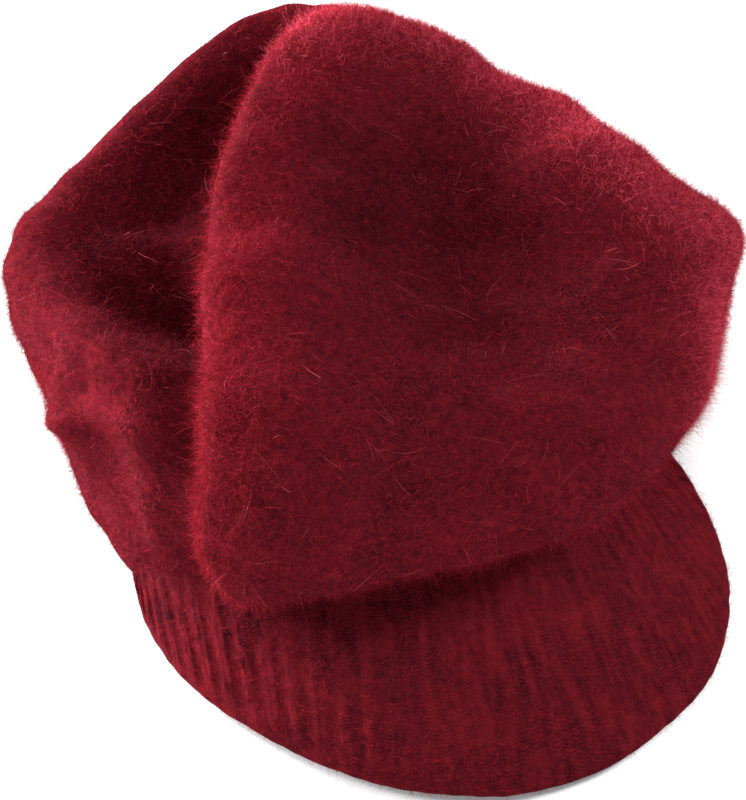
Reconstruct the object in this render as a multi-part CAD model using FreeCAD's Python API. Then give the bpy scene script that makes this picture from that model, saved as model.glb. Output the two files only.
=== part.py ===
import FreeCAD, Part
import math
import os

# Knitted beret with a stiffened, rib-knit peak, lying rim down on a flat surface.
# Millimetres. +Z up, the peak points along -Y, +X is the viewer's right when the
# peak faces the viewer. The origin is the centre of the head opening at rim level.

V = FreeCAD.Vector
os.makedirs("parts", exist_ok=True)

# Headband: an oval tube of rib knit, turned in on itself over an elastic.
BAND_A = 94.0            # half width of the outer face, along X
BAND_B = 75.5            # half depth of the outer face, along Y
BAND_H = 32.0            # height of the band
BAND_T = 3.0             # outer layer thickness
FRONT_LIFT = 27.0        # how far the rim arches up at the centre of the front
LIFT_START = 20.0        # the rim leaves the surface this far in front of centre
ELASTIC_GAP = 0.6
ELASTIC_T = 1.0
ELASTIC_Z = (4.0, 16.0)
FACING_T = 2.2
FACING_Z = (1.0, 30.0)
TAPE_T = 0.7
TAPE_Z = (5.0, 14.0)
LAYER_GAP = 0.2

# Crown: one knitted bag, drawn in at the top and slouching to the back and right.
CROWN_T = 3.0
TOP = (14.0, 52.0, 104.0)
# Widest line of the bag: one (x, y, z) every 30 degrees, from +X towards +Y.
WIDEST = [
    (147, 8, 58), (122, 54, 60), (78, 116, 68),
    (16, 159, 76), (-36, 144, 70), (-90, 94, 58),
    (-106, 42, 48), (-94, -20, 42), (-60, -76, 50),
    (0, -94, 54), (62, -82, 50), (110, -42, 38),
]
# How far the underside sags below a straight line to the widest line.
SAG = [30, 30, 36, 41, 38, 28, 8, 3, 0, 0, 0, 14]
LOWER_STEPS = (0.0, 0.22, 0.45, 0.7)
UPPER_STEPS = (0.0, 0.25, 0.47, 0.66, 0.82, 0.93, 0.975)
CLOSURE_R = 5.0
CLOSURE_H = 3.4
BACK_SEAM_W = 2.4
BACK_SEAM_T = 1.6
BACK_SEAM_CLEAR = 0.7

# Peak: a crescent between its sewn root and its outer edge.
ROOT_A = 96.0
ROOT_B = 85.0
ROOT_END_X = 92.0
ROOT_LIFT = 30.0
OUTER_A = 100.0
OUTER_B = 117.0
OUTER_X0 = 4.0
OUTER_Y0 = -34.0
OUTER_SKEW = 0.14        # the limp peak lies deeper on its +X side
OUTER_POWER = 2.0 / 2.15
PEAK_T = 6.0
PEAK_EDGE_T = 2.0
PEAK_DOME = 3.0
COVER_WALL = 1.9
BOARD_T = 1.3
INTERLINING_T = 0.6
PEAK_GAP = 0.1

STITCH_R = 0.4
STITCH_L = 2.4


def save(node, shape):
    shape.exportStep("parts/%s.step" % node)
    print(node, "valid", shape.isValid(), "solids", len(shape.Solids),
          "volume", round(shape.Volume))


def spread(low, high, count):
    return [low + (high - low) * i / (count - 1) for i in range(count)]


def solid_from_faces(faces):
    shell = Part.makeShell(faces)
    shell.sewShape()
    solid = Part.makeSolid(Part.Shell(shell.Faces))
    if solid.Volume < 0:
        solid.reverse()
    return solid


def closed_curve(points):
    curve = Part.BSplineCurve()
    curve.interpolate([V(*p) for p in points], PeriodicFlag=True)
    return Part.Wire(curve.toShape())


def grid_face(grid):
    surface = Part.BSplineSurface()
    surface.interpolate([[V(*p) for p in row] for row in grid])
    return surface


def joined_edges(first, second):
    return Part.makeRuledSurface(first.toShape(), second.toShape())


def slab(lower, upper):
    """Closed solid between two surfaces that share one grid layout."""
    low = grid_face(lower)
    top = grid_face(upper)
    faces = [low.toShape(), top.toShape()]
    u0, u1, v0, v1 = low.bounds()
    for a, b in ((low.uIso(u0), top.uIso(u0)), (low.uIso(u1), top.uIso(u1)),
                 (low.vIso(v0), top.vIso(v0)), (low.vIso(v1), top.vIso(v1))):
        faces.append(joined_edges(a, b))
    return solid_from_faces(faces)


# ---------------------------------------------------------------- headband
def rim_height(y):
    """Height of the rim: flat at the back and sides, arched at the front."""
    reach = (-y - LIFT_START) / (BAND_B - LIFT_START)
    return FRONT_LIFT * max(reach, 0.0) ** 1.4


def oval_prism(inset, height=140.0):
    a = BAND_A - inset
    b = BAND_B - inset
    oval = Part.Ellipse(V(0, 0, -20), a, b)
    return Part.Face(Part.Wire(oval.toShape())).extrude(V(0, 0, height))


def arch_slice(z_low, z_high):
    """Everything between two heights above the arched rim line."""
    line = [(y, rim_height(y)) for y in [120.0] + spread(-LIFT_START, -BAND_B - 5, 26)]
    points = [V(-130, y, z + z_low) for y, z in line]
    points += [V(-130, y, z + z_high) for y, z in reversed(line)]
    points.append(points[0])
    return Part.Face(Part.makePolygon(points)).extrude(V(260, 0, 0))


def band_layer(inset, thickness, z_low, z_high):
    ring = oval_prism(inset).cut(oval_prism(inset + thickness))
    return ring.common(arch_slice(z_low, z_high))


def front_part(shape, y_limit):
    keep = Part.makeBox(260, 200, 160, V(-130, y_limit - 200, -20))
    return shape.common(keep)


elastic_inset = BAND_T + ELASTIC_GAP
facing_inset = elastic_inset + ELASTIC_T + LAYER_GAP
tape_inset = facing_inset + FACING_T + LAYER_GAP
inner_inset = tape_inset + TAPE_T + LAYER_GAP

save("headband_rib", band_layer(0.0, BAND_T, 0.0, BAND_H))
save("headband_facing", band_layer(facing_inset, FACING_T, *FACING_Z))
save("elastic_band", band_layer(elastic_inset, ELASTIC_T, *ELASTIC_Z))
tape = band_layer(tape_inset, TAPE_T, *TAPE_Z)
save("peak_seam_tape", front_part(tape, -10.0))


# ------------------------------------------------------------------- crown
def rounded(ring, count):
    """Evenly spaced points on the smooth closed curve through a ring."""
    curve = closed_curve(ring).Edges[0].Curve
    first = curve.FirstParameter
    last = curve.LastParameter
    return [tuple(curve.value(first + (last - first) * i / count)) for i in range(count)]


RING_POINTS = 48


def crown_rings(count=RING_POINTS):
    widest = rounded(WIDEST, count)
    per_step = count // len(SAG)
    sags = []
    for i in range(count):
        here, part = divmod(i, per_step)
        share = (1 - math.cos(math.pi * part / per_step)) / 2
        sags.append(SAG[here] * (1 - share) + SAG[(here + 1) % len(SAG)] * share)
    seam = []
    for k in range(count):
        angle = 2 * math.pi * k / count
        y = BAND_B * math.sin(angle)
        seam.append((BAND_A * math.cos(angle), y, rim_height(y) + BAND_H + 0.4))
    rings = []
    for step in LOWER_STEPS:
        out = math.sin(step * math.pi / 2)
        rise = 1 - math.cos(step * math.pi / 2)
        ring = []
        for s, w, sag in zip(seam, widest, sags):
            ring.append((s[0] + (w[0] - s[0]) * out,
                         s[1] + (w[1] - s[1]) * out,
                         s[2] + (w[2] - s[2]) * rise - sag * math.sin(step * math.pi)))
        rings.append(ring)
    for step in UPPER_STEPS:
        inward = 1 - math.cos(step * math.pi / 2) ** 0.9
        rise = math.sin(step * math.pi / 2) ** 0.9
        rings.append([(w[0] + (TOP[0] - w[0]) * inward,
                       w[1] + (TOP[1] - w[1]) * inward,
                       w[2] + (TOP[2] - w[2]) * rise) for w in widest])
    return rings


def moved_inward(rings, distance):
    """The same rings pushed inward along the bag's own surface normal."""
    result = []
    last = len(rings) - 1
    count = len(rings[0])
    for i, ring in enumerate(rings):
        above = rings[min(i + 1, last)]
        below = rings[max(i - 1, 0)]
        moved = []
        for k in range(count):
            along = V(*ring[(k + 1) % count]) - V(*ring[k - 1])
            up = V(*above[k]) - V(*below[k])
            normal = along.cross(up)
            normal.normalize()
            moved.append(tuple(V(*ring[k]) - normal * distance))
        result.append(moved)
    return result


def ring_surface(rings):
    """Cubic surface closed around the rings and clamped at the first and last."""
    rows = len(rings)
    columns = len(rings[0])
    surface = Part.BSplineSurface()
    surface.buildFromPolesMultsKnots(
        [[V(*p) for p in ring] for ring in rings],
        [4] + [1] * (rows - 4) + [4], [1] * (columns + 1),
        list(range(rows - 2)), list(range(columns + 1)),
        False, True, 3, 3)
    return surface


def bag(outer, inner):
    outside = ring_surface(outer)
    inside = ring_surface(inner)
    faces = [outside.toShape(), inside.toShape()]
    start, end = outside.bounds()[:2]
    for edge in (start, end):
        faces.append(joined_edges(outside.uIso(edge), inside.uIso(edge)))
    return solid_from_faces(faces)


outer_rings = crown_rings()
inner_rings = moved_inward(outer_rings, CROWN_T)
crown = bag(outer_rings, inner_rings)
save("crown_knit", crown)

last_ring = outer_rings[-1]
closure_x = sum(p[0] for p in last_ring) / len(last_ring)
closure_y = sum(p[1] for p in last_ring) / len(last_ring)
closure_base = V(closure_x, closure_y, TOP[2] - CLOSURE_H)
closure = Part.makeCylinder(CLOSURE_R, CLOSURE_H, closure_base)
save("crown_top_closure", closure.makeFillet(1.2, closure.Edges))


def back_seam():
    """Seam ridge inside the bag, from the band's back up to the closure."""
    grids = []
    for depth in (CROWN_T + BACK_SEAM_CLEAR, CROWN_T + BACK_SEAM_CLEAR + BACK_SEAM_T):
        surface = ring_surface(moved_inward(outer_rings, depth))
        first, last = surface.bounds()[:2]
        rim = surface.uIso(first)
        grid = []
        for offset in (-BACK_SEAM_W / 2, 0.0, BACK_SEAM_W / 2):
            column = rim.parameter(V(offset, BAND_B, BAND_H))
            grid.append([tuple(surface.value(u, column))
                         for u in spread(first + 1.2, last - 1.0, 14)])
        grids.append(grid)
    return slab(grids[0], grids[1])


save("crown_back_seam", back_seam())


# -------------------------------------------------------------------- peak
def peak_root(t):
    x = ROOT_END_X * math.sin(t * math.pi / 2)
    y = -ROOT_B * math.sqrt(1 - (x / ROOT_A) ** 2)
    end_y = -ROOT_B * math.sqrt(1 - (ROOT_END_X / ROOT_A) ** 2)
    lift = ROOT_LIFT * (end_y - y) / (ROOT_B + end_y)
    return x, y, max(lift, 0.0)


def peak_outer(t):
    s = math.sin(t * math.pi / 2)
    c = math.cos(t * math.pi / 2)
    across = math.copysign(abs(s) ** OUTER_POWER, s)
    forward = max(c, 0.0) ** OUTER_POWER
    return (OUTER_X0 + OUTER_A * across,
            OUTER_Y0 - OUTER_B * forward * (1 + OUTER_SKEW * across))


def peak_point(t, s, above):
    """A point of the peak: t runs corner to corner, s from root to outer edge."""
    rx, ry, rz = peak_root(t)
    ox, oy = peak_outer(t)
    dome = PEAK_DOME * 4 * s * (1 - s) * math.cos(t * math.pi / 2)
    return (rx + (ox - rx) * s, ry + (oy - ry) * s, rz * (1 - s) + dome + above)


def peak_thickness(s):
    start = 0.9
    if s <= start:
        return PEAK_T
    k = (s - start) / (1 - start)
    return PEAK_EDGE_T + (PEAK_T - PEAK_EDGE_T) * math.sqrt(max(1 - k * k, 0.0))


def peak_layer(low, high, t_end, s_low, s_high, steps=9):
    ts = spread(-t_end, t_end, 25)
    ss = spread(s_low, s_high, steps)
    lower = [[peak_point(t, s, low) for s in ss] for t in ts]
    upper = [[peak_point(t, s, high) for s in ss] for t in ts]
    return slab(lower, upper)


def peak_outside():
    ts = spread(-1, 1, 33)
    ss = spread(0, 0.9, 7) + [0.94, 0.97, 0.99, 1.0]
    lower = [[peak_point(t, s, 0.0) for s in ss] for t in ts]
    upper = [[peak_point(t, s, peak_thickness(s)) for s in ss] for t in ts]
    return slab(lower, upper)


cavity_low = COVER_WALL
cavity_high = PEAK_T - COVER_WALL
pocket = peak_layer(cavity_low, cavity_high, 0.93, -0.06, 0.93)
save("peak_cover", peak_outside().cut(pocket))
board_low = cavity_low + PEAK_GAP
board_high = board_low + BOARD_T
save("peak_board", peak_layer(board_low, board_high, 0.915, 0.02, 0.915))
lining_low = board_high + PEAK_GAP
save("peak_interlining",
     peak_layer(lining_low, lining_low + INTERLINING_T, 0.91, 0.03, 0.905))


# ------------------------------------------------------- stitches and labels
def rod(centre, direction, length=STITCH_L, radius=STITCH_R):
    along = V(direction)
    along.normalize()
    start = V(*centre) - along * (length / 2)
    return Part.makeCylinder(radius, length, start, along)


def oval_stitches(inset, height, count, first, last, slant=0.0):
    a = BAND_A - inset
    b = BAND_B - inset
    rods = []
    for i in range(count):
        angle = math.radians(first + (last - first) * i / count)
        y = b * math.sin(angle)
        spot = (a * math.cos(angle), y, rim_height(y) + height)
        along = V(-a * math.sin(angle), b * math.cos(angle), 0)
        along.normalize()
        along.z = slant
        rods.append(rod(spot, along))
    return Part.makeCompound(rods)


# Rows sit just inside the layer they hold, clear of it by a hair.
save("crown_band_stitches",
     oval_stitches(facing_inset + FACING_T + STITCH_R + 0.45, 27.5, 84, 0, 360, 0.6))
save("hem_stitches",
     oval_stitches(facing_inset + FACING_T + STITCH_R + 0.45, 2.6, 48, -5, 185))
save("tape_stitches",
     oval_stitches(tape_inset + TAPE_T + STITCH_R + 0.45, 9.5, 36, 200, 340))
save("elastic_join_stitches",
     Part.makeCompound([rod((x, BAND_B - BAND_T - 0.36, z), (0, 0, 1), 1.6, 0.18)
                        for x in (-3, -1.5, 0, 1.5, 3) for z in (6.5, 10.0, 13.5)]))


def root_stitches():
    rods = []
    count = 44
    for i in range(count):
        t = -0.9 + 1.8 * i / (count - 1)
        here = V(*peak_point(t, 0.04, PEAK_T + STITCH_R + 0.15))
        ahead = V(*peak_point(t + 0.01, 0.04, PEAK_T + STITCH_R + 0.15))
        rods.append(rod(tuple(here), ahead - here))
    return Part.makeCompound(rods)


save("peak_root_stitches", root_stitches())


def label(width, height, z_low, thickness, inset):
    """Small oval-following tab of woven tape inside the back of the band."""
    ring = oval_prism(inset).cut(oval_prism(inset + thickness))
    window = Part.makeBox(width, 100, height, V(-width / 2, 0, z_low))
    return ring.common(window)


label_inset = facing_inset + FACING_T + 0.15
save("blank_label", label(44.0, 15.0, 6.5, 0.5, label_inset))
care = label(24.0, 20.0, 5.0, 0.4, label_inset + 0.5 + 0.15)
save("care_label", care)
save("label_stitches",
     Part.makeCompound([rod((x, math.sqrt(1 - (x / (BAND_A - label_inset - 1.0)) ** 2)
                             * (BAND_B - label_inset - 1.0), z), (1, 0, 0), 1.8, 0.3)
                        for x in (-19.5, -16.0, 16.0, 19.5) for z in (7.5, 20.5)]))
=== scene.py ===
import math

import bpy
import numpy as np
from mathutils import Matrix, Vector


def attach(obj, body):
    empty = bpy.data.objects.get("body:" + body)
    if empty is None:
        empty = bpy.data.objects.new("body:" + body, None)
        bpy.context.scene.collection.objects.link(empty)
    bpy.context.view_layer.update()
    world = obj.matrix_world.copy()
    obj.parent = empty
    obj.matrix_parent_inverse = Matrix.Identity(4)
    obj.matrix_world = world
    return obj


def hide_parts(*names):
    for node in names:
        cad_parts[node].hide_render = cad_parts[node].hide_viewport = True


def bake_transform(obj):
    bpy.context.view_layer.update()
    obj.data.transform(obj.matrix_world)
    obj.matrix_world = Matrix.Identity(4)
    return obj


# A red brushed-wool beret bag with a stiffened rib-knit peak, lying rim down.
# Lengths are millimetres until a mesh is made; -Y is the front.

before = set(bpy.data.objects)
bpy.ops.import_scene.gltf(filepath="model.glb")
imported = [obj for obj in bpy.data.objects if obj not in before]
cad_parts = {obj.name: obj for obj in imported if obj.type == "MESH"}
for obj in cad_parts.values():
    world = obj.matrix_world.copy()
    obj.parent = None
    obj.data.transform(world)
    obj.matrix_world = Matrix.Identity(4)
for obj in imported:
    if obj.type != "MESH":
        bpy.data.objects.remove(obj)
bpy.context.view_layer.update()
MM = 0.001

# ------------------------------------------------------------- dimensions
BAND_A, BAND_B, BAND_H = 94.0, 75.5, 32.0       # half width, half depth, height
BAND_T, BAND_RIBS, BAND_COLUMNS = 3.0, 150, 900
FRONT_LIFT, LIFT_START = 27.0, 20.0             # the rim rises towards the front
HEM_LOW = 0.4
TOP = np.array([14.0, 52.0, 103.0])
# Round the bag in steps of 30 degrees, from +X by way of the back.
WIDEST = np.array([
    (144, 8, 58), (114, 48, 56), (88, 114, 71),
    (26, 158, 88), (-35, 144, 70), (-96, 96, 58),
    (-105, 43, 49), (-93, -20, 42), (-60, -77, 50),
    (0, -94, 50), (62, -84, 46), (112, -44, 36)], float)
SAG = np.array([30, 30, 36, 41, 38, 28, 10, 4, 4, 4, 4, 14], float)
DROP = np.array([0, 0, 0, 0, 0, 17, 33, 36, 10, 0, 0, 0], float)   # hang over the band
SECTORS = len(WIDEST)
CROWN_T = 3.0
CROWN_COLUMNS, CROWN_ROWS = 480, 168
CLOSURE_START = 0.985    # where the bag's last ring of stitches lies
OUTER_FLOOR, INNER_FLOOR = 1.0, 0.4             # lowest points of the bag's two faces
RIB_PITCH = 8.4          # two knit stitches and one purl stitch
PEAK_COLUMNS = 477
PEAK_EDGE_Z, PEAK_HALF = 3.0, 3.0               # the peak's mid height and half thickness
# Farthest reach of the pile: low corner and high corner.
PILE_BOX = (-118, -168, 0.2), (158, 171, 115)


# ---------------------------------------------------------------- numbers
def spline(p0, p1, p2, p3, f):
    """Catmull-Rom curve from p1 to p2."""
    return 0.5 * (2 * p1 + (p2 - p0) * f + (2 * p0 - 5 * p1 + 4 * p2 - p3) * f * f
                  + (3 * p1 - p0 - 3 * p2 + p3) * f ** 3)


def closed_spline(control, t):
    """Smooth closed curve through control rows; t counts control steps."""
    count = len(control)
    step = np.floor(t).astype(int)
    f = t - step
    if control.ndim > 1:
        f = f[:, None]
    return spline(*(control[(step + k) % count] for k in (-1, 0, 1, 2)), f)


def smooth(x, low=0.0, high=1.0):
    t = np.clip((x - low) / (high - low), 0, 1)
    return t * t * (3 - 2 * t)


def bell(dist, width):
    return np.exp(-(dist / width) ** 2)


def rim_height(y):
    """Height of the band's lower rim over the table."""
    return FRONT_LIFT * np.maximum((-y - LIFT_START) / (BAND_B - LIFT_START), 0) ** 1.4


def wave_noise(points, scale, seed, octaves=12):
    """Smooth seeded noise, about -1 to 1, from a sum of plane waves."""
    rng = np.random.default_rng(seed)
    total = np.zeros(points.shape[:-1])
    for _ in range(octaves):
        direction = rng.normal(size=3)
        direction /= np.linalg.norm(direction)
        length = scale * rng.uniform(0.7, 1.6)
        total += np.sin(points @ direction * (2 * math.pi / length)
                        + rng.uniform(0, 2 * math.pi))
    return total / math.sqrt(octaves)


def unit(v):
    return v / (np.linalg.norm(v, axis=-1, keepdims=True) + 1e-9)


def arc_length(points):
    """Length run along a line of points, at each of them."""
    return np.concatenate([[0], np.cumsum(np.linalg.norm(np.diff(points, axis=0), axis=1))])


def grid_normals(grid):
    """Unit normals of a (rows, closed columns, 3) grid."""
    along = np.roll(grid, -1, 1) - np.roll(grid, 1, 1)
    up = np.gradient(grid, axis=0)
    return unit(np.cross(along, up))


def smooth_grid(grid, passes, weight=0.5):
    for _ in range(passes):
        mean = (np.roll(grid, 1, 1) + np.roll(grid, -1, 1)) / 4
        mean[1:-1] += (grid[:-2] + grid[2:]) / 4
        mean[0], mean[-1] = grid[0], grid[-1]
        grid = grid * (1 - weight) + mean * weight
    return grid


# ------------------------------------------------------------------ crown
def crown_base(columns, rows):
    """Smooth bag, and each point's level: -1 at the band, 0 at the rim, 1 at the middle."""
    a = np.arange(columns) / columns
    widest = closed_spline(WIDEST, a * SECTORS)
    sag = np.maximum(closed_spline(SAG, a * SECTORS), 0)
    drop = np.maximum(closed_spline(DROP, a * SECTORS), 0)
    angle = a * 2 * math.pi
    seam = np.stack([BAND_A * np.cos(angle), BAND_B * np.sin(angle), 0 * angle], -1)
    seam[:, 2] = rim_height(seam[:, 1]) + BAND_H - drop
    fine, level = [], []
    for u in np.linspace(0, 1, 50)[:-1]:
        out, rise = math.sin(u * math.pi / 2), 1 - math.cos(u * math.pi / 2)
        p = seam.copy()
        p[:, :2] += (widest[:, :2] - seam[:, :2]) * out
        p[:, 2] += (widest[:, 2] - seam[:, 2]) * rise - sag * math.sin(u * math.pi) * 0.8
        fine.append(p)
        level.append(u - 1)
    for u in np.linspace(0, CLOSURE_START, 120):
        inward, rise = 1 - math.cos(u * math.pi / 2) ** 0.9, math.sin(u * math.pi / 2) ** 0.9
        p = widest.copy()
        p[:, :2] += (TOP[:2] - widest[:, :2]) * inward
        p[:, 2] += (TOP[2] - widest[:, 2]) * rise
        fine.append(p)
        level.append(u)
    fine = np.array(fine)
    lengths = np.linalg.norm(np.diff(fine, axis=0), axis=2)
    total = np.concatenate([np.zeros((1, columns)), np.cumsum(lengths, 0)])
    grid = np.empty((rows, columns, 4))
    for k in range(columns):
        t = np.linspace(0, total[-1, k], rows)
        for c in range(3):
            grid[:, k, c] = np.interp(t, total[:, k], fine[:, k, c])
        grid[:, k, 3] = np.interp(t, total[:, k], level)
    return grid[..., :3], grid[..., 3]


def smooth_line(points, step=3.0):
    """Evenly stepped smooth curve through a few points."""
    p = np.array(points, float)
    p = np.vstack([2 * p[0] - p[1], p, 2 * p[-1] - p[-2]])
    out = []
    for i in range(1, len(p) - 2):
        steps = max(int(np.linalg.norm(p[i + 1] - p[i]) / step), 2)
        t = np.linspace(0, 1, steps, endpoint=False)[:, None]
        out.append(spline(*p[i - 1:i + 3], t))
    return np.vstack(out + [p[-2:-1]])


class Fold:
    """Signed reach from a fold line (positive to its left) and position along it."""

    def __init__(self, grid, normals, points):
        line = smooth_line(points)
        starts = arc_length(line)
        lengths = np.linalg.norm(np.diff(line, axis=0), axis=1)
        self.dist = np.full(grid.shape[:-1], 1e9)
        side = np.zeros_like(self.dist)
        self.along = np.zeros_like(self.dist)
        self.left = np.zeros(grid.shape)
        for i, (a, b) in enumerate(zip(line[:-1], line[1:])):
            d = b - a
            t = np.clip(((grid - a) @ d) / (d @ d), 0, 1)
            offset = grid - (a + t[..., None] * d)
            dist = np.linalg.norm(offset, axis=-1)
            left = np.cross(d / np.linalg.norm(d), normals)
            closer = dist < self.dist
            self.dist = np.where(closer, dist, self.dist)
            side = np.where(closer, np.sign((left * offset).sum(-1)), side)
            self.along = np.where(closer, (starts[i] + t * lengths[i]) / starts[-1], self.along)
            self.left = np.where(closer[..., None], left, self.left)
        self.reach = self.dist * side


# Fold lines as they lie on the bag, from the back of the bag to its front.
RIDGE = [(52, 148, 88), (30, 116, 101), (8, 88, 104), (-16, 45, 102), (-34, 6, 98),
         (-48, -30, 88), (-58, -54, 74), (-65, -66, 50)]
RIDGE_TOP = [(48, 118, 100), (14, 88, 108), (-16, 45, 106), (-38, 6, 103),
             (-56, -30, 93), (-66, -54, 76), (-72, -66, 54)]
SHELF = [(-103, 82, 58), (-96, 55, 72), (-84, 22, 80), (-73, -2, 84), (-68, -12, 84)]
NUB = [(-102, 18, 40), (-99, 8, 50), (-94, -1, 60), (-87, -12, 65), (-80, -23, 68)]
BROW = [(-60, -28, 84), (-43, -39, 89), (-20, -45, 91), (8, -50, 91)]
ROLL = [(-40, -86, 62), (-5, -92, 62), (25, -93, 58), (55, -86, 56), (78, -74, 54)]
CREST = [(60, 118, 84), (88, 84, 86), (108, 40, 90), (126, 12, 84), (144, -2, 66)]
# The outermost turn of the bag at the back and right: a painted highlight and pale pink fibres
# along it stand in for light catching the edge.
RIM_HIGHLIGHT_LINE = [(8, 128, 104), (31, 119, 105), (67, 115, 97), (93, 80, 92), (106, 38, 94), (120, 4, 82),
       (136, -10, 68), (119, -34, 55), (108, -50, 42)]
# Small swells and dents: centre, radius, height.
SWELLS = [((101, 60, 86), 19, 5.5), ((129, 18, 84), 19, -8.0), ((143, 8, 72), 12, -4.0),
          ((-105, 36, 30), 26, -3.5), ((-86, 108, 68), 16, -2.5), ((-104, 84, 60), 14, 2.0),
          ((91, 84, 90), 16, -3.5), ((104, 78, 84), 14, -4.0), ((66, 108, 94), 18, 3.5),
          ((-98, -4, 28), 21, -4.0)]


def ellipsoid(grid, centre, radii):
    return np.linalg.norm((grid - np.array(centre, float)) / np.array(radii, float), axis=-1)


# Section across the main fold: reach from the line, sideways lean, rise.
SECTION = np.array([
    (-90, 0, 0), (-46, 0, 0), (-28, 6, 4), (-15, 12, 7.5), (-5, 14.5, 7), (0, 15, 4.5),
    (4, 14, 0.5), (8, 11.5, -5), (12, 6, -12), (16, -1, -19), (20, -7, -26), (26, -11, -33),
    (34, -8, -37), (50, -3, -35), (75, 0, -20), (105, 0, 0), (140, 0, 0)], float)


def section(reach):
    """Smoothed lean and rise of the fold's section at each reach."""
    at = np.arange(SECTION[0, 0], SECTION[-1, 0] + 1)
    kernel = bell(np.arange(-8, 9), 3.0)
    kernel /= kernel.sum()
    out = []
    for column in (1, 2):
        values = np.interp(at, SECTION[:, 0], SECTION[:, column])
        values = np.convolve(np.pad(values, 8, "edge"), kernel, "valid")
        out.append(np.interp(reach, at, values))
    return out


def crown_folds(grid, level):
    """The bag's grid folded and dented, and its painted light.

    Painted light: painted shade in the hollows and valleys, painted highlights on the raised
    folds, the ridge crest, the nub and the rim line.
    """
    normals = grid_normals(grid)
    seam_fade = smooth(level, -1.0, -0.8)
    upper = smooth(level, -0.05, 0.40)

    ridge = Fold(grid, normals, RIDGE)
    shelf = Fold(grid, normals, SHELF)
    r = ridge.reach
    present = smooth(ridge.along, 0.0, 0.14)
    behind = -shelf.reach
    above_shelf = smooth(behind, -10.0, 12.0)
    lean, rise = section(r)
    low_depth = 0.36 * bell(np.maximum(r - 20, 0), 14.0)
    depth = above_shelf * upper + (1 - above_shelf) * low_depth
    depth = np.maximum(depth, 0.3 * bell(r - 14, 14.0)) * (0.75 + 0.25 * upper)
    move = present * (np.maximum(rise, 0) + np.minimum(rise, 0) * depth)
    beside = smooth(r, 12, 24) * (1 - smooth(r, 60, 90))
    move += 4.5 * bell(behind + 12.0, 13.0) * beside * upper

    nub = Fold(grid, normals, NUB)
    move += 5.5 * bell(nub.dist, 5.0)
    move += 1.6 * bell(Fold(grid, normals, BROW).dist, 10.0)
    move += 5.0 * bell(Fold(grid, normals, ROLL).dist, 13.0)
    crest_line = Fold(grid, normals, CREST)
    move += 5.0 * bell(crest_line.dist, 14.0) * smooth(crest_line.along, 0.0, 0.3)
    hollow = ellipsoid(grid[..., :2], (34, 34), (66, 96))
    sunk = 23.0 * (1 - smooth(hollow, 0.05, 1.0)) * smooth(level, 0.12, 0.5)
    slouch = ellipsoid(grid[..., :2], (40, -18), (82, 72))
    sunk += 12.0 * (1 - smooth(slouch, 0.1, 1.1)) * upper

    for centre, radius, height in SWELLS:
        move += height * bell(np.linalg.norm(grid - np.array(centre), axis=-1), radius)

    sheltered = 0.4 + 0.6 * smooth(level, -0.6, 0.1)
    move += sheltered * 2.2 * wave_noise(grid, 62.0, 3)
    move += sheltered * 0.9 * wave_noise(grid, 24.0, 5)
    move += 0.25 * wave_noise(grid, 8.0, 9)
    moved = grid + normals * (move * seam_fade)[..., None]
    moved[..., 2] -= sunk * seam_fade
    # The crest leans over its left foot, so the fold closes on itself.
    lean = (lean * smooth(ridge.along, 0.0, 0.25)
            * (1 - 0.5 * smooth(ridge.along, 0.6, 1.0)))
    lean = np.where(lean < 0, lean * np.clip(depth, 0, 1), lean)
    moved = moved + ridge.left * (lean * seam_fade)[..., None]
    # Where the bag droops past the band it hangs clear of it.
    oval = np.hypot(moved[..., 0] / BAND_A, moved[..., 1] / BAND_B)
    low = smooth(rim_height(moved[..., 1]) + BAND_H + 4 - moved[..., 2], 0.0, 14.0)
    wanted = 1 + 1.6 / BAND_B * low
    push = np.maximum(wanted / oval, 1.0) * low + 1 - low
    moved[..., :2] *= push[..., None]
    # Painted highlight along the rim line, the ridge crest and the nub; painted shade where the
    # bag is sunk.
    rim = bell(Fold(grid, normals, RIM_HIGHLIGHT_LINE).dist, 17.0)
    painted_light = np.clip((move - sunk) / 18, -1, 0.5) + 3.4 * rim
    painted_light += 0.8 * bell(r - 3, 9.0) * present
    painted_light += 1.1 * bell(nub.dist, 5.0)
    return moved, painted_light


crown_grid, crown_painted_light = crown_folds(*crown_base(CROWN_COLUMNS, CROWN_ROWS))
crown_grid = smooth_grid(crown_grid, 4)
crown_grid[..., 2] = np.maximum(crown_grid[..., 2], OUTER_FLOOR)


# --------------------------------------------------------------- meshes
BLEND = dict(start=(0, -0.024, 0), end=(0, -0.085, 0))   # metres, band to peak


def new_object(name, vertices, faces, material):
    mesh = bpy.data.meshes.new(name)
    vertices = np.asarray(vertices, np.float32).reshape(-1, 3) * MM
    faces = np.asarray(faces, np.int32)
    sides = faces.shape[1]
    mesh.vertices.add(len(vertices))
    mesh.vertices.foreach_set("co", vertices.ravel())
    mesh.loops.add(faces.size)
    mesh.loops.foreach_set("vertex_index", faces.ravel())
    mesh.polygons.add(len(faces))
    mesh.polygons.foreach_set("loop_start", np.arange(0, faces.size, sides, dtype=np.int32))
    mesh.polygons.foreach_set("use_smooth", np.ones(len(faces), bool))
    mesh.update(calc_edges=True)
    mesh.validate()
    mesh.materials.append(material)
    obj = bpy.data.objects.new(name, mesh)
    bpy.context.scene.collection.objects.link(obj)
    return obj


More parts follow.
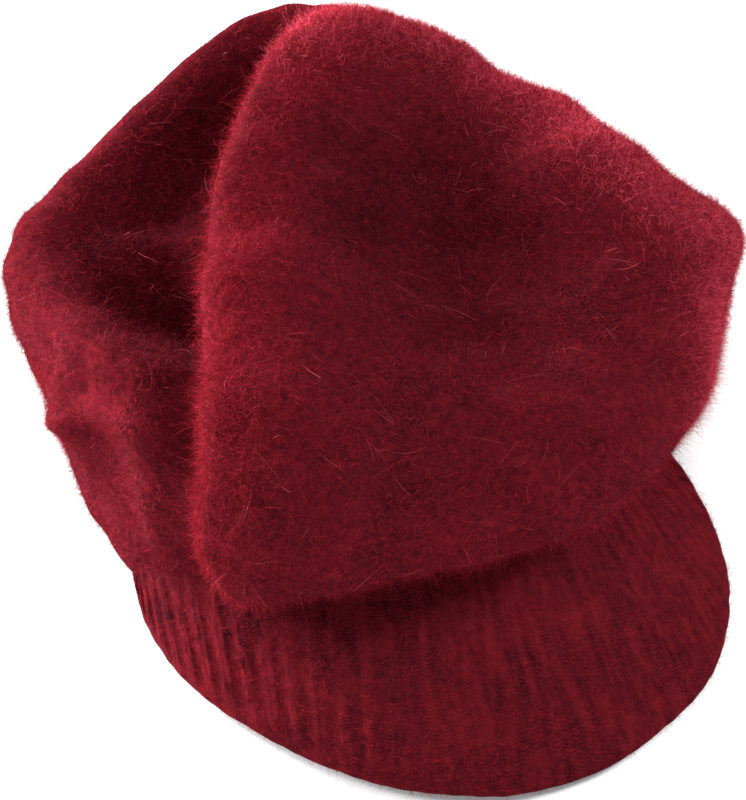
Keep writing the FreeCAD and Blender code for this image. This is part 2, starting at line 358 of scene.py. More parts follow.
def set_uv(obj, uv, wrap=False):
    """One UV per vertex; wrap carries a closed grid's last column round to 1."""
    layer = obj.data.uv_layers.new(name="OFBake")
    index = np.empty(len(obj.data.loops), np.int32)
    obj.data.loops.foreach_get("vertex_index", index)
    out = uv[index]
    if wrap:
        faces = np.empty(len(obj.data.polygons), np.int32)
        obj.data.polygons.foreach_get("loop_start", faces)
        owner = np.repeat(np.arange(len(faces)), np.diff(np.append(faces, len(index))))
        highest = np.zeros(len(faces))
        np.maximum.at(highest, owner, out[:, 0])
        out[(out[:, 0] < 0.1) & (highest[owner] > 0.9), 0] = 1.0
    layer.data.foreach_set("uv", out.astype(np.float32).ravel())


def stands_for(piece, node):
    """The piece takes a CAD node's place."""
    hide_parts(node)
    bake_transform(piece)


def grid_uv(rows, columns, closed=True, low=0.0, high=1.0):
    u = np.arange(columns) / (columns if closed else columns - 1)
    v = np.linspace(low, high, rows)
    return np.stack(np.broadcast_arrays(u[None, :], v[:, None]), -1).reshape(-1, 2)


def grid_faces(rows, columns, closed=True, offset=0):
    r = np.arange(rows - 1)[:, None]
    c = np.arange(columns if closed else columns - 1)[None, :]
    n = (c + 1) % columns
    quads = np.stack([r * columns + c, r * columns + n, (r + 1) * columns + n,
                      (r + 1) * columns + c], -1)
    return quads.reshape(-1, 4) + offset


# -------------------------------------------------------------- materials
def new_material(name):
    mat = bpy.data.materials.new(name)
    mat.use_nodes = True
    nodes = mat.node_tree.nodes
    return mat, nodes, mat.node_tree.links, nodes["Principled BSDF"]


def wool_material(name, dark, light, wales, courses, felt, streaks=0.0):
    """Brushed knit: stitches in rows and columns, mostly hidden under felted fibres.

    Streaks are the drawn-out shadows between the stitch columns of a rib.
    """
    mat, nodes, links, shader = new_material(name)

    def math_node(operation, first, second=None):
        node = nodes.new("ShaderNodeMath")
        node.operation = operation
        for socket, value in zip(node.inputs, (first, second)):
            if value is None:
                continue
            if isinstance(value, (int, float)):
                socket.default_value = value
            else:
                links.new(value, socket)
        return node.outputs[0]

    def add(first, second):
        return math_node("ADD", first, second)

    def sub(first, second):
        return math_node("SUBTRACT", first, second)

    def mul(first, second):
        return math_node("MULTIPLY", first, second)

    def noise(scale, detail, roughness=0.5):
        node = nodes.new("ShaderNodeTexNoise")
        node.inputs["Scale"].default_value = scale
        node.inputs["Detail"].default_value = detail
        node.inputs["Roughness"].default_value = roughness
        links.new(coords.outputs["Object"], node.inputs["Vector"])
        return node.outputs["Fac"]

    shader.inputs["Roughness"].default_value = 0.95
    shader.inputs["Specular IOR Level"].default_value = 0.0
    shader.inputs["Sheen Weight"].default_value = 0.05
    shader.inputs["Sheen Roughness"].default_value = 0.45
    shader.inputs["Sheen Tint"].default_value = (1.0, 0.22, 0.32, 1.0)
    coords = nodes.new("ShaderNodeTexCoord")
    uv = nodes.new("ShaderNodeUVMap")
    uv.uv_map = "OFBake"
    parts = nodes.new("ShaderNodeSeparateXYZ")
    links.new(uv.outputs["UV"], parts.inputs[0])
    # Each stitch is a V: two arms that lean over a course.
    wobble = mul(sub(noise(160.0, 2.0), 0.5), 1.1)
    column = math_node("FRACT", add(mul(parts.outputs["X"], wales), wobble))
    arm = math_node("ABSOLUTE", sub(column, 0.5))
    row = add(mul(parts.outputs["Y"], courses), mul(arm, 1.3))
    row = math_node("ABSOLUTE", sub(math_node("FRACT", add(row, wobble)), 0.5))
    loop = mul(sub(1.0, mul(row, 2.0)),
               sub(1.0, mul(math_node("POWER", mul(arm, 2.0), 4.0), 0.9)))
    fine = noise(560.0, 5.0, 0.62)
    speck = noise(330.0, 3.0, 0.55)
    large = noise(34.0, 5.0)
    bare = nodes.new("ShaderNodeMapRange")
    bare.inputs["From Min"].default_value = felt
    bare.inputs["From Max"].default_value = felt + 0.18
    links.new(noise(48.0, 3.0), bare.inputs["Value"])
    stitch = mul(loop, bare.outputs["Result"])
    covered = mul(0.55, sub(1.0, bare.outputs["Result"]))
    knit = add(stitch, covered)
    tone = add(mul(knit, 0.45 - 0.2 * streaks), mul(speck, 1.0 - 0.5 * streaks))
    if streaks:
        stretched = nodes.new("ShaderNodeCombineXYZ")
        links.new(mul(parts.outputs["X"], wales * 0.9), stretched.inputs[0])
        links.new(mul(parts.outputs["Y"], 9.0), stretched.inputs[1])
        drawn = nodes.new("ShaderNodeTexNoise")
        drawn.inputs["Scale"].default_value = 1.0
        drawn.inputs["Detail"].default_value = 4.0
        links.new(stretched.outputs[0], drawn.inputs["Vector"])
        tone = add(tone, mul(sub(drawn.outputs["Fac"], 0.22), 1.25 * streaks))
    tone = add(tone, mul(fine, 0.5))
    tone = add(tone, mul(large, 0.45))
    ramp = nodes.new("ShaderNodeValToRGB")
    ramp.color_ramp.elements[0].position = 0.36
    ramp.color_ramp.elements[0].color = (*dark, 1)
    ramp.color_ramp.elements[1].position = 0.68
    ramp.color_ramp.elements[1].color = (*light, 1)
    links.new(mul(tone, 0.42), ramp.inputs["Fac"])
    # The base colour is scaled by the painted light: darker in the hollows, lighter on the folds,
    # the nub and the rim.
    painted_light = nodes.new("ShaderNodeAttribute")
    painted_light.attribute_name = "painted_light"
    painted_light_gain = nodes.new("ShaderNodeVectorMath")
    painted_light_gain.operation = "SCALE"
    links.new(ramp.outputs["Color"], painted_light_gain.inputs[0])
    links.new(add(mul(painted_light.outputs["Fac"], 0.4), 1.0), painted_light_gain.inputs["Scale"])
    links.new(painted_light_gain.outputs["Vector"], shader.inputs["Base Color"])
    height = add(mul(knit, 0.5), mul(speck, 0.6))
    height = add(height, mul(fine, 0.35))
    relief = nodes.new("ShaderNodeBump")
    relief.inputs["Strength"].default_value = 0.7
    relief.inputs["Distance"].default_value = 0.9 * MM
    links.new(height, relief.inputs["Height"])
    links.new(relief.outputs["Normal"], shader.inputs["Normal"])
    return mat


def plain_material(name, colour, roughness=0.9, scale=1200.0, spread=0.25):
    mat, nodes, links, shader = new_material(name)
    shader.inputs["Roughness"].default_value = roughness
    shader.inputs["Specular IOR Level"].default_value = 0.06
    shader.inputs["Sheen Weight"].default_value = 0.0
    coords = nodes.new("ShaderNodeTexCoord")
    noise = nodes.new("ShaderNodeTexNoise")
    noise.inputs["Scale"].default_value = scale
    links.new(coords.outputs["Object"], noise.inputs["Vector"])
    ramp = nodes.new("ShaderNodeValToRGB")
    ramp.color_ramp.elements[0].color = (*[c * (1 - spread) for c in colour], 1)
    ramp.color_ramp.elements[1].color = (*[min(c * (1 + spread), 1) for c in colour], 1)
    links.new(noise.outputs["Fac"], ramp.inputs["Fac"])
    links.new(ramp.outputs["Color"], shader.inputs["Base Color"])
    relief = nodes.new("ShaderNodeBump")
    relief.inputs["Strength"].default_value = 0.4
    relief.inputs["Distance"].default_value = 0.2 * MM
    links.new(noise.outputs["Fac"], relief.inputs["Height"])
    links.new(relief.outputs["Normal"], shader.inputs["Normal"])
    return mat


DEEP_RED, RIB_RED = (0.024, 0.0030, 0.0052), (0.140, 0.0080, 0.0125)
crown_wool = wool_material("crown_wool", DEEP_RED, (0.118, 0.0066, 0.0108), 250.0, 110.0, 0.52)
band_wool = wool_material("band_wool", DEEP_RED, RIB_RED, 300.0, 30.0, 0.45)
peak_wool = wool_material("peak_wool", DEEP_RED, RIB_RED, 102.0, 130.0, 0.44, streaks=0.8)


def fibre_material(name, root, tip):
    mat, nodes, links, shader = new_material(name)
    shader.inputs["Roughness"].default_value = 0.75
    shader.inputs["Specular IOR Level"].default_value = 0.01
    shader.inputs["Sheen Weight"].default_value = 0.10
    shader.inputs["Sheen Roughness"].default_value = 0.5
    shader.inputs["Sheen Tint"].default_value = (1.0, 0.15, 0.22, 1.0)
    uv = nodes.new("ShaderNodeUVMap")
    uv.uv_map = "OFBake"
    parts = nodes.new("ShaderNodeSeparateXYZ")
    links.new(uv.outputs["UV"], parts.inputs[0])
    # Each fibre runs from a dark root to a paler tip: painted shade down in the pile.
    ramp = nodes.new("ShaderNodeValToRGB")
    ramp.color_ramp.elements[0].color = (*root, 1)
    ramp.color_ramp.elements[1].color = (*tip, 1)
    links.new(parts.outputs["Y"], ramp.inputs["Fac"])
    links.new(ramp.outputs["Color"], shader.inputs["Base Color"])
    return mat


# ------------------------------------------------------------- the crown
# The inner face is coarser and calmer than the outer one.
ROW_STEP, COLUMN_STEP = 4, 3
calm = smooth_grid(crown_grid, 12)
inner_grid = (calm - grid_normals(calm) * CROWN_T)[::ROW_STEP, ::COLUMN_STEP]
inner_grid[..., 2] = np.maximum(inner_grid[..., 2], INNER_FLOOR)
outer_faces = grid_faces(CROWN_ROWS, CROWN_COLUMNS)
count = CROWN_ROWS * CROWN_COLUMNS
inner_rows, inner_columns = inner_grid.shape[:2]
inner_faces = grid_faces(inner_rows, inner_columns, offset=count)[:, ::-1]
# A row of faces joins the two faces along the seam.
column = np.arange(CROWN_COLUMNS)
inside = count + np.round(column / COLUMN_STEP).astype(int) % inner_columns
following = count + np.round((column + 1) / COLUMN_STEP).astype(int) % inner_columns
bottom = np.stack([inside, following, (column + 1) % CROWN_COLUMNS, column], -1)
shell = np.concatenate([crown_grid.reshape(-1, 3), inner_grid.reshape(-1, 3)])
crown = new_object("crown_bag", shell,
                   np.concatenate([outer_faces, inner_faces, bottom]), crown_wool)
# The painted light is stored on the outer face's points; the inner face gets none.
painted_light = np.concatenate([crown_painted_light.ravel(), np.zeros(inner_rows * inner_columns)])
painted_light_layer = crown.data.attributes.new("painted_light", "FLOAT", "POINT")
painted_light_layer.data.foreach_set("value", painted_light.astype(np.float32))
set_uv(crown, np.concatenate([grid_uv(CROWN_ROWS, CROWN_COLUMNS, high=0.74),
                              grid_uv(inner_rows, inner_columns, low=0.76)]), wrap=True)
stands_for(crown, "crown_knit")


# A small gathered knot closes the bag's last ring of stitches.
ring = crown_grid[-1, ::8]
middle = ring.mean(0)
up = unit(np.cross(ring[15] - middle, ring[0] - middle))
up *= np.sign(up[2])
angle = np.arange(len(ring)) / len(ring) * 2 * math.pi
knot = [middle + (ring - middle) * q + up * (h + 0.25 * q * np.cos(angle * 10))[:, None]
        for q, h in ((1.4, -0.8), (1.2, -0.2), (1.0, 0.1), (0.8, 0.2),
                     (0.55, 0.15), (0.3, -0.1), (0.1, -0.4), (0.02, -0.5))]
closure = new_object("top_closure", knot, grid_faces(len(knot), len(ring)), crown_wool)
set_uv(closure, grid_uv(len(knot), len(ring), high=0.05), wrap=True)
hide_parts("crown_top_closure")
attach(closure, "hat")


# -------------------------------------------------------------- the band
HEM_STEPS = 14
OUTER_RIB, FACING_RIB = 0.16, 0.15


def ring_profile(profile, rib):
    """Sweep an (inset, height, share of ribbing) profile round the oval band."""
    angle = np.arange(BAND_COLUMNS) / BAND_COLUMNS * 2 * math.pi
    out = []
    for inset, z, share in profile:
        wave = rib * share * np.cos(angle * BAND_RIBS)
        a = BAND_A - inset + wave
        b = BAND_B - inset + wave
        y = b * np.sin(angle)
        out.append(np.stack([a * np.cos(angle), y, rim_height(y) + z], -1))
    return np.array(out)


def band_piece(name, profile, rib, node):
    grid = ring_profile(profile, rib)
    faces = grid_faces(len(profile), BAND_COLUMNS)
    last = (len(profile) - 1) * BAND_COLUMNS
    c = np.arange(BAND_COLUMNS)
    n = (c + 1) % BAND_COLUMNS
    faces = np.concatenate([faces, np.stack([last + c, last + n, n, c], -1)])
    piece = new_object(name, grid, faces, band_wool)
    set_uv(piece, grid_uv(len(profile), BAND_COLUMNS), wrap=True)
    stands_for(piece, node)


def hem_profile(inset, thickness, low, high, bulge):
    """A closed profile: up the outer side, down the inner one and round the fold."""
    side = [(inset - bulge * math.sin(math.pi * i / HEM_STEPS),
             low + (high - low) * i / HEM_STEPS, 1) for i in range(1, HEM_STEPS + 1)]
    inner = [(inset + thickness, low + (high - low) * i / HEM_STEPS, 0.3)
             for i in range(HEM_STEPS, -1, -1)]
    fold = [(inset + thickness * (0.5 - 0.5 * math.cos(t)), low, 0.4)
            for t in (math.pi * 0.7, math.pi * 0.4, 0.15)]
    return side + inner + fold


OUTER_HEM = hem_profile(0.0, BAND_T, HEM_LOW, BAND_H, 0.6)
FACING_HEM = hem_profile(4.8, 2.2, 1.2, 30.0, 0.0)
band_piece("band_outer", OUTER_HEM, OUTER_RIB, "headband_rib")
band_piece("band_facing", FACING_HEM, FACING_RIB, "headband_facing")


# -------------------------------------------------------------- the peak
ROOT_HALF, ROOT_LIFT = 90.5, 29.0


def peak_root(t):
    """The sewn line on the band, corner to corner; t runs from -1 to 1."""
    x = ROOT_HALF * np.sin(t * math.pi / 2)
    y = -BAND_B * np.sqrt(1 - (x / BAND_A) ** 2)
    end = -BAND_B * math.sqrt(1 - (ROOT_HALF / BAND_A) ** 2)
    lift = ROOT_LIFT * (end - y) / (BAND_B + end)
    return np.stack([x, y, np.maximum(lift, 0)], -1)


def peak_outer(t):
    """The peak's free edge, a little fuller on its right."""
    s, c = np.sin(t * math.pi / 2), np.maximum(np.cos(t * math.pi / 2), 0)
    across = np.sign(s) * np.abs(s) ** 0.93
    out = np.stack([100 * across, -117 * c ** 0.93 * (1 + 0.14 * across), 0 * t], -1)
    swell = (-3.0 * bell(t + 0.55, 0.22) - 3.2 * bell(t - 0.27, 0.17) + 2.2 * bell(t - 0.74, 0.16)
             - 1.4 * bell(t + 0.95, 0.2) + 0.8 * bell(t + 0.06, 0.06))
    out = out * (1 + swell / 110)[:, None] + np.array([4.0, -34.0, 0.0])
    # The last few millimetres turn in to meet the band.
    turn = 0.85 * smooth(np.abs(t), 0.93, 1.0)[:, None]
    corner = np.stack([92 * np.sign(t), np.full(len(t), -23.0), 0 * t], -1)
    return out * (1 - turn) + corner * turn


def slanted(t):
    """Where a rib that starts at t on the root ends on the free edge."""
    return t - 0.12 * np.cos(t * math.pi / 2) ** 2


# Columns are spaced so that ribs are even along the outer edge.
t_root = np.linspace(-1, 1, PEAK_COLUMNS)
run = arc_length(peak_outer(slanted(t_root)))
t_root = np.interp(np.linspace(0, run[-1], PEAK_COLUMNS), run, t_root)
root, edge = peak_root(t_root), peak_outer(slanted(t_root))
phase = np.linspace(0, round(run[-1] / RIB_PITCH), PEAK_COLUMNS) % 1.0


def rib_profile(p):
    """Two round knit columns and a purl furrow across one repeat, 0 to 1."""
    pair = smooth(p, 0.0, 0.16) * (1 - smooth(p, 0.50, 0.66))
    return pair * (1 - 0.30 * bell(p - 0.33, 0.05)) - 0.35 * bell(p - 0.83, 0.09)


def peak_surface(s_values, above, rib_height, underside=False):
    """One face of the peak, root to edge: plain grid, normals, ribbed grid."""
    grid = []
    thin = 0.2 + 0.8 * np.sqrt(1 - np.clip((np.abs(t_root) - 0.9) / 0.1, 0, 1) ** 2)
    for s, z in zip(s_values, above):
        p = root * (1 - s) + edge * s
        dome = 3.0 * 4 * s * (1 - s) * np.cos(t_root * math.pi / 2)
        p[:, 2] = (root[:, 2] * (1 - s) + dome + PEAK_EDGE_Z
                   + (z - PEAK_EDGE_Z) * thin)
        if not underside:
            # The top curls up against the band.
            reach = s * np.linalg.norm((edge - root)[:, :2], axis=1)
            curl = (3 + 8 * np.cos(t_root * math.pi / 2) ** 0.5) * thin
            p[:, 2] += curl * np.exp(-(reach / 4.5) ** 1.3)
        grid.append(p)
    grid = np.array(grid)
    along = np.gradient(grid, axis=1)
    down = np.gradient(grid, axis=0)
    normal = unit(np.cross(down, along))
    normal *= np.sign(normal[..., 2:3] + 1e-9) * (-1 if underside else 1)
    towards_edge = smooth(np.array(s_values), 0.9, 1.0)
    height = rib_height * rib_profile(phase)[None, :] * (1 - 0.75 * towards_edge)[:, None]
    height = height * (0.75 + 0.35 * wave_noise(grid, 30.0, 12))
    height = height + 0.12 * wave_noise(grid, 7.0, 13)
    return grid, normal, grid + normal * height[..., None]


edge_steps = [0.925, 0.945, 0.962, 0.976, 0.987, 0.995, 1.0]
s_top = np.concatenate([np.linspace(0, 0.12, 18)[:-1], np.linspace(0.12, 0.9, 90), edge_steps])
s_low = np.concatenate([np.linspace(0, 0.9, 30), edge_steps])[::-1]


def edge_round(s):
    """Full thickness at the root, rounded to nothing at the free edge."""
    k = np.clip((s - 0.9) / 0.1, 0, 1)
    return np.sqrt(np.maximum(1 - k * k, 0))


_, top_normal, top_grid = peak_surface(
    s_top, PEAK_EDGE_Z + PEAK_HALF * edge_round(s_top), 0.42)
_, _, low_grid = peak_surface(
    s_low, PEAK_EDGE_Z - 2.6 * edge_round(s_low), 0.35, underside=True)
low_grid[..., 2] = np.maximum(low_grid[..., 2], 0.3)
cover_grid = np.concatenate([top_grid, low_grid[1:]])
rows_p = len(cover_grid)
cover_faces = grid_faces(rows_p, PEAK_COLUMNS, closed=False)
last = (rows_p - 1) * PEAK_COLUMNS
c = np.arange(PEAK_COLUMNS - 1)
back_wall = np.stack([last + c, last + c + 1, c + 1, c], -1)
# The two narrow ends are closed by fans of faces between top and underside.
pairs = [(int(np.argmin(np.abs(s_top - v))), len(s_top) - 1 + int(np.argmin(np.abs(s_low - v))))
         for v in s_low[::-1]]
ends = []
e = PEAK_COLUMNS - 1
for (a, b), (a2, b2) in zip(pairs[:-1], pairs[1:]):
    if a2 < b2:
        ends.append([v * PEAK_COLUMNS for v in (a, a2, b2, b)])
        ends.append([v * PEAK_COLUMNS + e for v in (b, b2, a2, a)])
cover = new_object("peak_cover_knit", cover_grid,
                   np.concatenate([cover_faces, back_wall, np.array(ends)]), peak_wool)
cover_uv = grid_uv(rows_p, PEAK_COLUMNS, closed=False).reshape(rows_p, PEAK_COLUMNS, 2)
strides = np.linalg.norm(np.diff(cover_grid, axis=0), axis=2).mean(1)
cover_uv[..., 1] = (np.concatenate([[0], np.cumsum(strides)]) / strides.sum())[:, None]
set_uv(cover, cover_uv.reshape(-1, 2))
stands_for(cover, "peak_cover")


# The stiff board and the felt over it lie between the two faces of the cover.
board_mat = plain_material("board", (0.80, 0.78, 0.72), 0.55, 900.0, 0.06)
felt_mat = plain_material("interlining", (0.72, 0.71, 0.69), 0.9, 1800.0, 0.12)
s_in = np.linspace(0.03, 0.9, 24)
cut = slice(14, PEAK_COLUMNS - 14, 4)
for name, node_name, slot_name, material, low, high in (
        ("peak_board_sheet", "peak_board", "board", board_mat, 2.3, 3.4),
        ("peak_interlining_sheet", "peak_interlining", "interlining", felt_mat, 3.55, 4.2)):
    upper_face = peak_surface(s_in, 0 * s_in + high, 0.0)[0][:, cut]
    lower_face = peak_surface(s_in[::-1], 0 * s_in + low, 0.0, True)[0][:, cut]
    loop = np.concatenate([upper_face, lower_face])
    n_rows, n_cols = loop.shape[:2]
    faces = grid_faces(n_rows, n_cols, closed=False)
    first = np.arange(n_cols - 1)
    end = (n_rows - 1) * n_cols + first
    root_wall = np.stack([end, end + 1, first + 1, first], -1)
    k = np.arange(len(s_in) - 1)
    far = n_rows - 1 - k
    left_wall = np.stack([k, k + 1, far - 1, far], -1) * n_cols
    right_wall = np.stack([far, far - 1, k + 1, k], -1) * n_cols + n_cols - 1
    sheet = new_object(name, loop, np.concatenate([faces, root_wall, left_wall, right_wall]),
                       material)
    stands_for(sheet, node_name)


# Root stitches, half sunk between the ribs close to the band.
def rods(name, starts, ends, radius, material):
    """Short round-ended rods, one for each stitch."""
    sides, vertices, faces = 6, [], []
    for a, b in zip(starts, ends):
        d = unit(b - a)
        p = unit(np.cross(d, np.array([0.3, 0.2, 1.0])))
        q = np.cross(d, p)
        first = len(vertices)
        for along, r in ((-0.6, 0.35), (0.0, 1.0), (0.5, 1.12), (1.0, 1.0), (1.6, 0.35)):
            past = min(along, 0) + max(along - 1, 0)
            at = a + (b - a) * np.clip(along, 0, 1) + d * radius * past
            for k in range(sides):
                w = 2 * math.pi * k / sides
                vertices.append(at + (p * math.cos(w) + q * math.sin(w)) * radius * r)
        for ring_index in range(4):
            for k in range(sides):
                n = (k + 1) % sides
                o = first + ring_index * sides
                faces.append((o + k, o + n, o + sides + n, o + sides + k))
    return new_object(name, np.array(vertices), np.array(faces), material)


thread = plain_material("thread", (0.05, 0.0016, 0.004))
STITCH_ROW, STITCH_PITCH, STITCH_LENGTH = 12, 5.0, 3.0
line = top_grid[STITCH_ROW] - top_normal[STITCH_ROW] * 0.15
run_root = arc_length(line)
stops = np.arange(4.0, run_root[-1] - 6.0, STITCH_PITCH)
pick = [np.stack([np.interp(at, run_root, line[:, c]) for c in range(3)], -1)
        for at in (stops, stops + STITCH_LENGTH)]
stitches = rods("root_stitches", pick[0], pick[1], 0.35, thread)
stands_for(stitches, "peak_root_stitches")


# ------------------------------------------------------------------ fuzz
def scatter(grid, normals, faces, number, rng, keep=None):
    """Random points spread by area over a grid's quads, with normals; keep weighs the vertices."""
    p = grid.reshape(-1, 3)
    n = normals.reshape(-1, 3)
    tris = np.concatenate([faces[:, [0, 1, 2]], faces[:, [0, 2, 3]]])
    a, b, c = p[tris[:, 0]], p[tris[:, 1]], p[tris[:, 2]]
    area = np.linalg.norm(np.cross(b - a, c - a), axis=1)
    if keep is not None:
        area = area * keep[tris[:, 0]]
    pick = rng.choice(len(tris), number, p=area / area.sum())
    u, v = rng.random(number), rng.random(number)
    flip = u + v > 1
    u[flip], v[flip] = 1 - u[flip], 1 - v[flip]
    w = 1 - u - v

    def mix(q):
        return (q[tris[pick, 0]] * w[:, None] + q[tris[pick, 1]] * u[:, None]
                + q[tris[pick, 2]] * v[:, None])

    return mix(p), unit(mix(n))


def fibres(name, points, normals, length, lift, curl, width, segments, rng, material):
    """Thin tapered, curved ribbons that stand out of a surface."""
    count = len(points)
    tangent = rng.normal(size=(count, 3))
    tangent = unit(tangent - normals * (tangent * normals).sum(1, keepdims=True))
    direction = unit(normals * np.sin(lift)[:, None] + tangent * np.cos(lift)[:, None])
    bend = unit(rng.normal(size=(count, 3))) * curl[:, None] - normals * (curl * 0.5)[:, None]
    flat = unit(np.cross(direction, rng.normal(size=(count, 3))))
    steps = np.linspace(0, 1, segments + 1)
    centre = points - normals * 0.3
    rings = []
    heading = direction
    for i, t in enumerate(steps):
        w = width * (1 - t) ** 0.6 / 2
        if i < segments:
            rings.append(centre - flat * w[:, None])
            rings.append(centre + flat * w[:, None])
        else:
            rings.append(centre)
        heading = unit(heading + bend / segments)
        centre = centre + heading * (length / segments)[:, None]
    per = 2 * segments + 1
    vertices = np.clip(np.stack(rings, 1).reshape(-1, 3), *PILE_BOX)
    tris = []
    for q in range(0, 2 * segments - 2, 2):
        tris += [(q, q + 1, q + 3), (q, q + 3, q + 2)]
    q = 2 * (segments - 1)
    tris.append((q, q + 1, q + 2))
    start = np.arange(count)[:, None, None] * per
    tris = (start + np.array(tris)[None]).reshape(-1, 3)
    obj = new_object(name, vertices, tris, material)
    along = np.repeat(steps, 2)[:per]
    tint = rng.random(count)
    uv = np.stack([np.repeat(tint, per), np.tile(along, count)], -1)
    set_uv(obj, uv)
    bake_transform(obj)


def grow(name, surface, number, rng, length, lift, curl, width, segments, material,
         keep=None, draw="lognormal"):
    """Fibres scattered over a (grid, normals, faces) surface.

    Length is in the terms of its draw, lift is degrees above the surface.
    """
    points, normals = scatter(*surface, number, rng, keep)
    lengths = getattr(rng, draw)(*length, number)
    lifts = np.radians(rng.uniform(*lift, number))
    curls = rng.uniform(*curl, number)
    widths = rng.uniform(*width, number)
    fibres(name, points, normals, lengths, lifts, curls, widths, segments, rng, material)


fuzz_dark = fibre_material("fuzz_dark", (0.07, 0.003, 0.006), (0.25, 0.009, 0.018))
fuzz_mid = fibre_material("fuzz_mid", (0.10, 0.004, 0.008), (0.42, 0.019, 0.036))
fuzz_pale = fibre_material("fuzz_pale", (0.24, 0.014, 0.026), (0.50, 0.09, 0.11))
# Pale pink fibre tips for the rim line: painted highlight where the back light catches the edge.
fuzz_rim_highlight = fibre_material("fuzz_rim_highlight", (0.32, 0.014, 0.028), (0.95, 0.13, 0.20))
crown_surface = (crown_grid, grid_normals(crown_grid), outer_faces)
# Crown fibres grow denser where the painted light is higher, so the fibre cover follows the
# painted shade and highlights.
painted_light_gain = (1 + 0.4 * np.minimum(crown_painted_light, 1.0)).ravel()
for index, material in enumerate((fuzz_dark, fuzz_mid, fuzz_dark, fuzz_mid)):
    grow("crown_fuzz_%d" % (index + 1), crown_surface, 66000, np.random.default_rng(20 + index),
         (1.3, 0.4), (12, 72), (0.3, 1.8), (0.08, 0.13), 2, material, painted_light_gain)
on_ridge = bell(Fold(*crown_surface[:2], RIDGE_TOP).dist, 11.0).reshape(-1) + 0.004
grow("ridge_fuzz", crown_surface, 22000, np.random.default_rng(30),
     (1.5, 0.4), (20, 85), (0.6, 2.8), (0.07, 0.12), 4, fuzz_mid, on_ridge)
# Rim fibres: real fuzz, in the painted-highlight colour, gathered along the rim line.
rim_highlight_weight = bell(Fold(*crown_surface[:2], RIM_HIGHLIGHT_LINE).dist, 15.0).reshape(-1) + 0.002
grow("rim_highlight_fuzz", crown_surface, 24000, np.random.default_rng(31),
     (1.35, 0.4), (25, 88), (0.4, 2.2), (0.07, 0.12), 3, fuzz_rim_highlight, rim_highlight_weight)
grow("crown_long_hairs", crown_surface, 900, np.random.default_rng(40),
     (6, 17), (8, 55), (0.4, 2.2), (0.07, 0.12), 7, fuzz_pale, draw="uniform")

peak_skin = (top_grid, top_normal, grid_faces(len(top_grid), PEAK_COLUMNS, closed=False))
peak_rng = np.random.default_rng(41)
for index, material in enumerate((fuzz_dark, fuzz_mid)):
    grow("peak_fuzz_%d" % (index + 1), peak_skin, 26000, peak_rng,
         (0.8 + 0.3 * index, 0.4), (8, 50), (0.3, 1.5), (0.07, 0.11), 2, material)

band_grid = ring_profile(OUTER_HEM[:HEM_STEPS], OUTER_RIB)
band_surface = (band_grid, grid_normals(band_grid), grid_faces(HEM_STEPS, BAND_COLUMNS))
grow("band_fuzz", band_surface, 40000, np.random.default_rng(42),
     (1.2, 0.4), (10, 65), (0.3, 1.8), (0.08, 0.13), 2, fuzz_dark)

# ------------------------------------------- sewn-in pieces inside the band
# Those that reach the front are each copied to a new piece that takes their place.
elastic = plain_material("elastic", (0.62, 0.60, 0.57), 0.8)
tape = plain_material("tape", (0.11, 0.004, 0.008))
label = plain_material("label", (0.78, 0.76, 0.70), 0.8, 2500.0, 0.08)
finishes = {"elastic_band": (elastic, "elastic"), "peak_seam_tape": (tape, "tape"),
            "crown_band_stitches": (thread, "thread"), "hem_stitches": (thread, "thread"),
            "tape_stitches": (thread, "thread"), "elastic_join_stitches": (thread, "thread"),
            "label_stitches": (thread, "thread"), "crown_back_seam": (crown_wool, "crown_wool"),
            "blank_label": (label, "label"), "care_label": (label, "label")}
for name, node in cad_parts.items():
    if name not in finishes:
        continue
    material, slot_name = finishes[name]
    world = [node.matrix_world @ v.co for v in node.data.vertices]
    if min(v.y for v in world) > BLEND["start"][1]:
        node.data.materials.clear()
        node.data.materials.append(material)
        continue
    mesh = node.data.copy()
    mesh.transform(node.matrix_world)
    mesh.materials.clear()
    mesh.materials.append(material)
    piece = bpy.data.objects.new(name + "_soft", mesh)
    bpy.context.scene.collection.objects.link(piece)
    stands_for(piece, name)

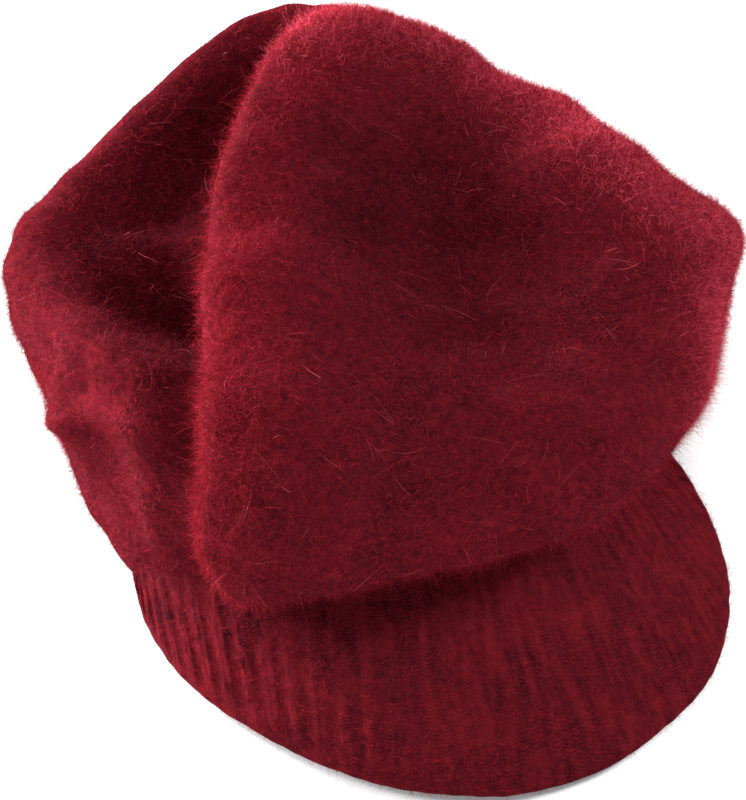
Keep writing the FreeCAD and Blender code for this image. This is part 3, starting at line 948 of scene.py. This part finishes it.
# -------------------------------------------------- floor, lights, camera
floor_mat, _, _, floor_shader = new_material("floor")
floor_shader.inputs["Base Color"].default_value = (0.86, 0.86, 0.86, 1)
floor_shader.inputs["Roughness"].default_value = 0.9
bpy.ops.mesh.primitive_plane_add(size=8, location=(0, 0, -0.0002))
floor = bpy.context.active_object
floor.name = "floor"
floor.data.materials.append(floor_mat)

LIT_POINT = Vector((0, 0, 0.06))
for name, location, size, power in (
        ("window", (-0.76, 1.08, 0.34), 0.45, 77),
        ("side_window", (-1.14, 0.66, 0.34), 0.45, 33),
        ("right_fill", (1.09, -0.19, 0.83), 0.45, 20),
        ("front_fill", (-0.61, -1.06, 0.63), 0.9, 6.1),
        ("overhead", (0, -0.12, 1.4), 0.9, 5.6)):
    data = bpy.data.lights.new(name, "AREA")
    data.shape = "DISK"
    data.size = size
    data.energy = power
    light = bpy.data.objects.new(name, data)
    light.location = location
    light.rotation_euler = (LIT_POINT - Vector(location)).to_track_quat("-Z", "Y").to_euler()
    bpy.context.scene.collection.objects.link(light)

world = bpy.data.worlds.new("world")
world.use_nodes = True
background = world.node_tree.nodes["Background"]
background.inputs["Color"].default_value = (0.95, 0.96, 1.0, 1)
background.inputs["Strength"].default_value = 0.35
bpy.context.scene.world = world
bpy.context.scene.view_settings.view_transform = "Standard"

AZIMUTH, ELEVATION, DISTANCE = math.radians(-21), math.radians(46), 0.600
right = Vector((math.cos(AZIMUTH), math.sin(AZIMUTH), 0))
towards = Vector((math.sin(AZIMUTH) * math.cos(ELEVATION),
                  -math.cos(AZIMUTH) * math.cos(ELEVATION), math.sin(ELEVATION)))
upward = towards.cross(right)
aim = Vector((0, -0.020, 0.035)) - right * 0.0031 + upward * 0.0099
camera_data = bpy.data.cameras.new("camera")
camera_data.lens = 79.1
camera_data.sensor_width = 36.0
camera = bpy.data.objects.new("camera", camera_data)
camera.matrix_world = Matrix.Translation(aim + towards * DISTANCE) @ Matrix(
    (right, upward, towards)).transposed().to_4x4()
bpy.context.scene.collection.objects.link(camera)
bpy.context.scene.camera = camera
